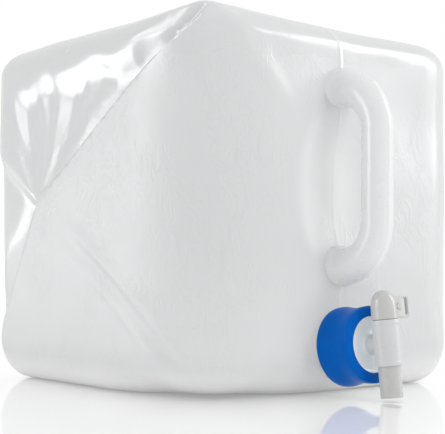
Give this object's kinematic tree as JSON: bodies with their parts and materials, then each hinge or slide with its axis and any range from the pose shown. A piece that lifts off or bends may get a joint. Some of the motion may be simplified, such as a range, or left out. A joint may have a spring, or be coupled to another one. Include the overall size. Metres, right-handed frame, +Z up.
{
  "type": "collapsible water container",
  "caption": "Soft cube-shaped water container with a moulded carrying handle and a turning tap held in a screw neck, folding flat when empty.",
  "frame": {"origin": "middle of the bag's base, on the surface that it stands on", "axes": "+Z up; -Y out of the wall with the handle and the tap; +X to the right of someone who faces away from that wall's outside"},
  "size_m": [0.294, 0.3663, 0.2939],
  "materials": {
    "bag": "milky translucent, softly glossy, wrinkled",
    "gasket": "matt",
    "ring": "satin blue, smooth",
    "tap": "satin",
    "core": "satin"
  },
  "bodies": {
    "container": {"front_wall": "bag", "left_wall": "bag", "right_wall": "bag", "top_wall": "bag", "bottom_wall": "bag", "neck": "bag", "carry_handle": "bag"},
    "back_panel": {"back_wall": "bag"},
    "seal": {"neck_gasket": "gasket"},
    "ring": {"ring_nut": "ring"},
    "tap": {"tap_body": "tap"},
    "valve": {"valve_core": "core"}
  },
  "joints": [
    {"name": "collapse", "type": "slide", "parent": "container", "child": "back_panel", "axis": [0, -1, 0], "range_m": [0, 0.236], "deforming": ["left_wall", "right_wall", "top_wall", "bottom_wall"]},
    {"name": "ring_travel", "type": "slide", "parent": "container", "child": "seal", "axis": [0, -0.9914, 0.1305], "range_m": [0, 0.0241]},
    {"name": "ring_turn", "type": "hinge", "parent": "seal", "child": "ring", "pos_m": [0, -0.1505, 0.0375], "axis": [0, -0.9914, 0.1305], "range_deg": [0, 1440]},
    {"name": "tap_swivel", "type": "hinge", "parent": "seal", "child": "tap", "pos_m": [0, -0.1505, 0.0375], "axis": [0, -0.9914, 0.1305], "range_deg": [-180, 180]},
    {"name": "valve_turn", "type": "hinge", "parent": "tap", "child": "valve", "pos_m": [0, -0.19839, 0.0438], "axis": [0, -0.1305, -0.9914], "range_deg": [0, 90]}
  ],
  "couplings": [
    {"joint": "ring_travel", "follows": "ring_turn", "m_per_rad": 0.00095493}
  ]
}
